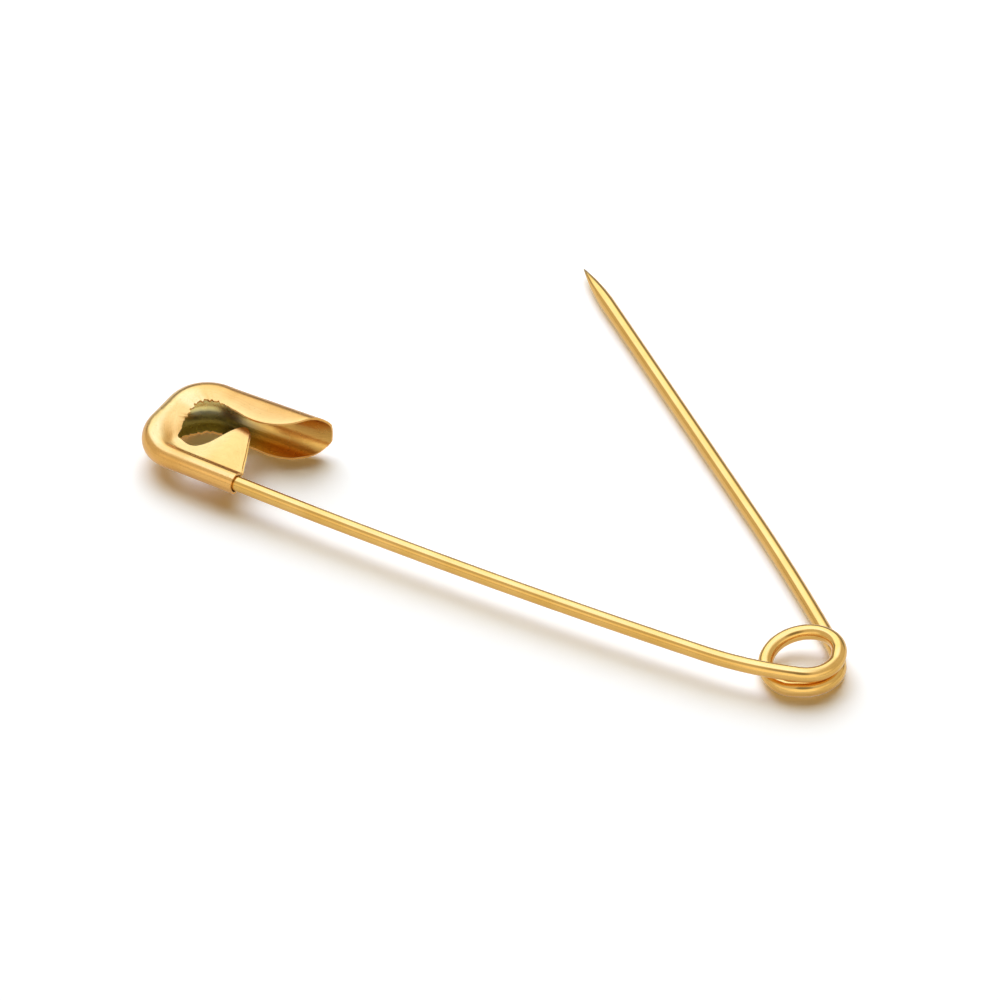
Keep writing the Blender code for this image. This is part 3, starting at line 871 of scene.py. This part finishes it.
def torn_share(along):
    """How strongly the window's edge is torn here, from 0 to 1."""
    beside_web, bend, trough = cap_runs()
    starts = beside_web + RAG_FROM_SHARE * bend[0]
    ends = beside_web + sum(bend) + RAG_UNTIL_SHARE * trough
    share = (along - starts) / (ends - starts)
    return smooth(share / EASE_SHARE) * smooth((1.0 - share) / EASE_SHARE)


def ripple_at(along, side):
    """Ripples that don't line up."""
    turn = 2 * pi * along / RAG_LENGTH
    return sum(size * sin(often * turn + side) for often, size in RAG_RIPPLES)


def ragged(along, side):
    """How far the torn edge stands in or out here."""
    return RAG_HEIGHT * ripple_at(along, side) * torn_share(along)


def reach_at(along, side):
    """How far the sheet reaches in from the outline, on the front (1) or the rear (-1)."""
    width = bpy.context.scene.safetypin_cap.width
    beside_web, bend, trough = cap_runs()
    if along <= beside_web:
        proud = REAR_WEB_PROUD * (1.0 - along / beside_web) if side < 0 else 0.0
        web = read_shares(WEB_SHARES, (along + proud) / beside_web)
        between = width - 2 * tube_radius() - FOLD_DEPTH
        return 2 * tube_radius() + between * web
    web_end = reach_at(beside_web, side)
    past_web = along - beside_web
    if past_web <= sum(bend):
        shares = FRONT_BEND_SHARES if side > 0 else REAR_BEND_SHARES
        share = past_web / sum(bend)
        reach = width * read_shares(shares, share)
        reach = web_end + (reach - web_end) * smooth(share / EASE_SHARE)
    else:
        shares = FRONT_LIP_SHARES if side > 0 else REAR_LIP_SHARES
        reach = width * read_shares(shares, (past_web - sum(bend)) / trough)
    return reach + ragged(along, side)


def tube_half(side, reach, faded):
    """Half section where the sheet is crimped round the wire and doubled into the web. On
    the front, the crease beside the web can fade into a shallow dip."""
    radius = tube_radius()
    web = WEB_LIFT + side * (LAYER_GAP / 2 + bpy.context.scene.safetypin_cap.sheet)
    sweep = pi - side * asin(web / radius)
    leaves = radius * (1.0 - cos(sweep))
    top_share = ARC_SHARE * pi / 2 / sweep
    half = []

    def on_tube(turn):
        height = side * radius * sin(turn)
        return Vector((radius * (1.0 - cos(turn)),
                       height * REAR_CRIMP_DEPTH if side < 0 and turn < pi else height))

    for i in range(SECTION_STEPS + 1):
        share = i / SECTION_STEPS
        if share < ARC_SHARE:
            turn = sweep * share / ARC_SHARE
            spot = on_tube(turn)
            past = radius * (turn - sweep)
        else:
            t = (share - ARC_SHARE) / (1.0 - ARC_SHARE)
            past = (reach - leaves) * t ** LIP_SPACING
            spot = Vector((leaves + past, web + WEB_SLOPE * past))
        if side > 0 and abs(past) < CREASE_EASE:
            t = (past / CREASE_EASE + 1.0) / 2.0
            before = on_tube(sweep - CREASE_EASE / radius)
            corner = Vector((leaves, web))
            after = corner + CREASE_EASE * Vector((1.0, WEB_SLOPE))
            spot = before * (1.0 - t) ** 2 + corner * 2.0 * t * (1.0 - t) + after * t * t
        if side > 0 and share > top_share:
            t = (share - top_share) / (1.0 - top_share)
            dip = Vector((radius + (reach - radius) * t,
                          radius + (web - radius) * smooth(t / DIP_SHARE)))
            spot = spot.lerp(dip, faded)
        half.append(spot)
    return half


def trough_half(side, reach):
    """Half section of the trough: a round fold that runs on into a nearly flat wall."""
    drop = wire_levels()[1]
    rise = (TROUGH_RISE + drop) / 2
    middle = (TROUGH_RISE - drop) / 2
    if reach < FOLD_DEPTH:
        end = acos(1.0 - reach / FOLD_DEPTH)
    else:
        end = pi / 2 + (reach - FOLD_DEPTH) / FOLD_DEPTH
    tuck = LIP_TUCK if side > 0 else 0.0
    half = []
    for i in range(SECTION_STEPS + 1):
        turn = end * i / SECTION_STEPS
        if turn < pi / 2:
            depth, level = 1.0 - cos(turn), rise * sin(turn)
        else:
            past = turn - pi / 2
            depth, level = 1.0 + past, rise - tuck * smooth(past / (pi / 2))
        half.append(Vector((FOLD_DEPTH * depth, middle + side * level)))
    return half


def eased(along, start_share, end_share):
    """Eases from 0, at a share of the run beside the web, to 1, at a share of the bend."""
    beside_web, bend, _ = cap_runs()
    starts = start_share * beside_web
    ends = beside_web + end_share * sum(bend)
    return smooth((along - starts) / (ends - starts))


def half_section(along, side):
    """From the outline inwards: depth in from the outline, and height over the wire."""
    reach = reach_at(along, side)
    faded = eased(along, CREASE_FADE_START_SHARE, CREASE_FADE_END_SHARE)
    starts = SWELL_START_SHARE if side > 0 else REAR_SWELL_START_SHARE
    opened = eased(along, starts, SWELL_END_SHARE)
    half = [
        closed.lerp(wide, opened)
        for closed, wide in zip(tube_half(side, reach, faded), trough_half(side, reach))
    ]
    depth = bpy.context.scene.safetypin_cap.wrinkle * torn_share(along)
    ripple = ripple_at(along, side)
    for i, spot in enumerate(half):
        near_edge = smooth(2.0 * i / SECTION_STEPS - 1.0)
        spot.y -= side * depth * near_edge * (1.0 + ripple / 2)
    return half


class SAFETYPIN_OT_cap(bpy.types.Operator):
    """Fold the cap: crimped tube, doubled web, swelling bend and trough"""

    bl_idname = "safetypin.cap"
    bl_label = "Cap"

    def execute(self, context):
        settings = context.scene.safetypin_cap
        beside_web, bend, trough = cap_runs()
        total = beside_web + sum(bend) + trough
        count = round(total / PATH_STEP)
        level = wire_levels()[1]
        work = bmesh.new()
        place = work.verts.layers.float_vector.new("sheet_place")
        rows = []
        for i in range(count + 1):
            along = total * i / count
            on_outline, inward = outline_at(along), inward_at(along)
            front, rear = half_section(along, 1), half_section(along, -1)
            row = []
            for k, (depth, height) in enumerate([*reversed(rear[1:]), *front]):
                plan = on_outline + inward * depth
                spot = work.verts.new(in_place((-plan.x, plan.y - arm_line(), level + height)))
                across = (k - SECTION_STEPS) / SECTION_STEPS * settings.width / 2
                spot[place] = Vector((along, across, 0.0))
                row.append(spot)
            rows.append(row)
        for row, following in zip(rows, rows[1:]):
            for k in range(len(row) - 1):
                work.faces.new((row[k], row[k + 1], following[k + 1], following[k]))
        mesh = bpy.data.meshes.new("cap_sheet")
        work.to_mesh(mesh)
        work.free()
        mesh.shade_smooth()
        for finish in (sheet_finish, cut_edge_finish, inner_sheet_finish):
            mesh.materials.append(finish(settings))
        carrier = place_object("cap_sheet_open", mesh)
        wall = carrier.modifiers.new("sheet", "SOLIDIFY")
        wall.thickness = settings.sheet
        wall.offset = -1.0
        wall.use_even_offset = True
        wall.use_rim = True
        wall.material_offset_rim = 1
        wall.material_offset = 2
        cap = plain_object(carrier, "folded_cap")
        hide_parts("cap")
        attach(cap, "frame")
        return {"FINISHED"}


# Stage

def camera_directions():
    """Right, forward along the floor, and the line of sight."""
    right = Vector((cos(CAMERA_TURN), sin(CAMERA_TURN), 0.0))
    level = Vector((-sin(CAMERA_TURN), cos(CAMERA_TURN), 0.0))
    sight = level * cos(CAMERA_RISE) - Vector((0.0, 0.0, sin(CAMERA_RISE)))
    return right, level, sight


def add_camera():
    right, _, sight = camera_directions()
    up = right.cross(sight)
    across = (SEEN_AT[0] - PHOTO_SIZE / 2) / FOCAL_PIXELS
    down = (SEEN_AT[1] - PHOTO_SIZE / 2) / FOCAL_PIXELS
    ray = sight + right * across - up * down
    made = bpy.data.cameras.new("camera")
    made.lens = FOCAL_PIXELS * made.sensor_width / PHOTO_SIZE
    made.clip_start = 0.01
    turn = Matrix((right, up, -sight)).transposed().to_4x4()
    place = Vector((*COIL_AXIS, SEEN_HEIGHT)) - ray * CAMERA_DISTANCE
    camera = place_object("camera", made)
    camera.matrix_world = Matrix.Translation(place) @ turn
    bpy.context.scene.camera = camera


def mirrored_and_seen(tree):
    """1 for rays from the camera and for those that metal or glass send on."""
    rays = new_node(tree, "ShaderNodeLightPath").outputs
    first = math(tree, "MAXIMUM", rays["Is Camera Ray"], rays["Is Glossy Ray"])
    return math(tree, "MAXIMUM", first, rays["Is Transmission Ray"])


def empty_tree(owner):
    """The node tree of a new world or material, with nothing in it."""
    owner.use_nodes = True
    owner.node_tree.nodes.clear()
    return owner.node_tree


def choose_shader(tree, factor, first, second):
    return new_node(tree, "ShaderNodeMixShader", inputs={
        "Fac": factor, 1: first.outputs[0], 2: second.outputs[0]}).outputs[0]


def white_world():
    """White where the camera or the metal sees it, and a warm soft light on the floor."""
    world = bpy.data.worlds.new("studio")
    tree = empty_tree(world)
    soft = new_node(tree, "ShaderNodeBackground", "Soft light", {
        "Color": SOFT_TINT, "Strength": SOFT_STRENGTH})
    white = new_node(tree, "ShaderNodeBackground", "White background", {
        "Color": (1.0, 1.0, 1.0, 1.0), "Strength": 1.0})
    new_node(tree, "ShaderNodeOutputWorld", inputs={
        "Surface": choose_shader(tree, mirrored_and_seen(tree), soft, white)})
    bpy.context.scene.world = world


def floor_material():
    """Paper that keeps a soft shadow near the pin and is pure white further out."""
    made = bpy.data.materials.new("pale_floor")
    tree = empty_tree(made)
    rays = new_node(tree, "ShaderNodeLightPath").outputs
    paper = new_node(tree, "ShaderNodeBsdfDiffuse", inputs={
        "Color": mix(tree, rays["Is Camera Ray"], PAPER_TONE, PAPER_SEEN_TONE,
                     "White to the eye")})
    even = new_node(tree, "ShaderNodeEmission", "Even white in the metal", {
        "Strength": math(tree, "MULTIPLY", rays["Is Glossy Ray"], PAPER_MIRRORED)})
    near = new_node(tree, "ShaderNodeAddShader", inputs={0: paper.outputs[0], 1: even.outputs[0]})
    far = new_node(tree, "ShaderNodeEmission", "White further out", {
        "Strength": mirrored_and_seen(tree)})
    place = new_node(tree, "ShaderNodeTexCoord")
    reach = new_node(tree, "ShaderNodeVectorMath", "Distance from the pin", {
        0: place.outputs["Object"]}, operation="LENGTH")
    fade = eased_ramp(tree, reach.outputs["Value"], FLOOR_FADE)
    new_node(tree, "ShaderNodeOutputMaterial", inputs={
        "Surface": choose_shader(tree, fade, near, far)})
    return made


def add_floor(settings):
    half = settings.floor_size / 2
    mesh = bpy.data.meshes.new("floor")
    corners = [(-half, -half, 0.0), (half, -half, 0.0), (half, half, 0.0), (-half, half, 0.0)]
    mesh.from_pydata(corners, [], [(0, 1, 2, 3)])
    mesh.materials.append(floor_material())
    floor = place_object("floor", mesh)


def tent_material(settings):
    """What the metal mirrors: pale walls, a soft light overhead, a low card in front, a dim
    strip behind and the shade round the camera."""
    right, level, _ = camera_directions()
    made = bpy.data.materials.new("light_tent")
    tree = empty_tree(made)
    place = new_node(tree, "ShaderNodeTexCoord")
    outward = new_node(tree, "ShaderNodeVectorMath", inputs={
        0: place.outputs["Object"]}, operation="NORMALIZE")

    def dot(direction):
        return new_node(tree, "ShaderNodeVectorMath", inputs={
            0: outward.outputs["Vector"], 1: direction},
            operation="DOT_PRODUCT").outputs["Value"]

    def times(first, *others):
        for other in others:
            first = math(tree, "MULTIPLY", first, other)
        return first

    def edge(value, ends):
        return eased_ramp(tree, value, ends)

    height = math(tree, "MAXIMUM", dot((0.0, 0.0, 1.0)), LEAST_HEIGHT)
    ahead = dot(level)
    aside = math(tree, "DIVIDE", dot(right), height)
    behind = math(tree, "DIVIDE", ahead, height)
    slanted = math(tree, "ADD", aside, times(behind, SOFTBOX_SLANT))
    box = times(edge(slanted, SOFTBOX_LEFT), edge(aside, SOFTBOX_RIGHT),
                edge(behind, SOFTBOX_FRONT), edge(behind, SOFTBOX_BACK))
    in_front = times(ahead, -1.0)
    middle = edge(in_front, CARD_MIDDLE)
    brighter = math(tree, "ADD", times(middle, CARD_MIDDLE_SHARE), 1.0 - CARD_MIDDLE_SHARE)
    card = times(edge(height, CARD_TOP), edge(in_front, CARD_AHEAD),
                 math(tree, "MAXIMUM", edge(height, CARD_FOOT), middle), brighter)
    dim = times(edge(behind, DIM_STRIP), edge(ahead, DIM_AHEAD))
    toward = -level * cos(CAMERA_SHADE_RISE) + Vector((0.0, 0.0, sin(CAMERA_SHADE_RISE)))
    shade = edge(dot(toward), CAMERA_SHADE)
    walls = settings.walls
    strength = walls
    for mask, change in (
        (dim, -walls * DIM_SHARE),
        (shade, -walls * CAMERA_SHADE_SHARE),
        (card, settings.card - walls),
        (box, settings.softbox - walls),
    ):
        strength = math(tree, "ADD", strength, times(mask, change))
    box_color = mix(tree, edge(behind, SOFTBOX_TURNS), SOFTBOX_OVERHEAD_TONE, SOFTBOX_TONE,
                    "Softbox, cooler overhead")
    glow = new_node(tree, "ShaderNodeEmission", inputs={
        "Color": mix(tree, box, WALL_TONE, box_color), "Strength": strength})
    new_node(tree, "ShaderNodeOutputMaterial", inputs={"Surface": glow.outputs[0]})
    return made


def add_tent(settings):
    """A dome round the stage that only mirrored rays see."""
    work = bmesh.new()
    bmesh.ops.create_uvsphere(
        work, u_segments=48, v_segments=24, radius=settings.floor_size * TENT_SHARE)
    mesh = bpy.data.meshes.new("light_tent")
    work.to_mesh(mesh)
    work.free()
    mesh.shade_smooth()
    mesh.materials.append(tent_material(settings))
    tent = place_object("light_tent", mesh)
    for rays in ("camera", "diffuse", "shadow", "transmission", "volume_scatter"):
        setattr(tent, "visible_" + rays, False)


def add_lamp(name, power, size, color):
    """A soft light high up behind the pin, which the metal doesn't mirror."""
    right, level, _ = camera_directions()
    made = bpy.data.lights.new(name, "AREA")
    made.shape = "SQUARE"
    made.size = size
    made.energy = power
    made.color = color
    lamp = place_object(name, made)
    place = (Vector((0.0, 0.0, 1.0)) + level * LAMP_BEHIND + right * LAMP_ASIDE) * LAMP_HEIGHT
    turn = place.to_track_quat("Z", "Y").to_matrix().to_4x4()
    lamp.matrix_world = Matrix.Translation(place) @ turn
    lamp.visible_camera = False
    lamp.visible_glossy = False


class SAFETYPIN_OT_stage(bpy.types.Operator):
    """Set the floor, the light and the camera"""

    bl_idname = "safetypin.stage"
    bl_label = "Stage"

    def execute(self, context):
        settings = context.scene.safetypin_stage
        context.scene.view_settings.view_transform = "Standard"
        white_world()
        add_floor(settings)
        add_tent(settings)
        add_lamp("soft_light", settings.lamp_power, LAMP_SIZE, LAMP_TINT)
        add_lamp("wide_light", settings.wide_lamp_power, WIDE_LAMP_SIZE, WIDE_LAMP_TINT)
        add_camera()
        return {"FINISHED"}


# Add-on

class SAFETYPIN_PT_panel(bpy.types.Panel):
    """Pieces of the safety pin"""

    bl_label = "Safety pin"
    bl_idname = "SAFETYPIN_PT_panel"
    bl_space_type = "VIEW_3D"
    bl_region_type = "UI"
    bl_category = "Safety pin"

    def draw(self, context):
        for operator in OPERATORS:
            self.layout.operator(operator.bl_idname)
        for group, _ in SETTINGS:
            settings = getattr(context.scene, group)
            box = self.layout.box()
            for name in settings.bl_rna.properties.keys():
                if name not in ("rna_type", "name"):
                    box.prop(settings, name)


OPERATORS = (SAFETYPIN_OT_wire, SAFETYPIN_OT_cap, SAFETYPIN_OT_stage)
SETTINGS = (
    ("safetypin_wire", SAFETYPIN_PG_wire),
    ("safetypin_cap", SAFETYPIN_PG_cap),
    ("safetypin_stage", SAFETYPIN_PG_stage),
)


def register():
    for name, kind in SETTINGS:
        bpy.utils.register_class(kind)
        setattr(bpy.types.Scene, name, PointerProperty(type=kind))
    for kind in (*OPERATORS, SAFETYPIN_PT_panel):
        bpy.utils.register_class(kind)


def unregister():
    for kind in reversed((*OPERATORS, SAFETYPIN_PT_panel)):
        bpy.utils.unregister_class(kind)
    for name, kind in reversed(SETTINGS):
        delattr(bpy.types.Scene, name)
        bpy.utils.unregister_class(kind)


def main():
    register()
    bpy.ops.safetypin.wire()
    bpy.ops.safetypin.cap()
    bpy.ops.safetypin.stage()
    bpy.context.view_layer.update()


if __name__ == "__main__":
    main()
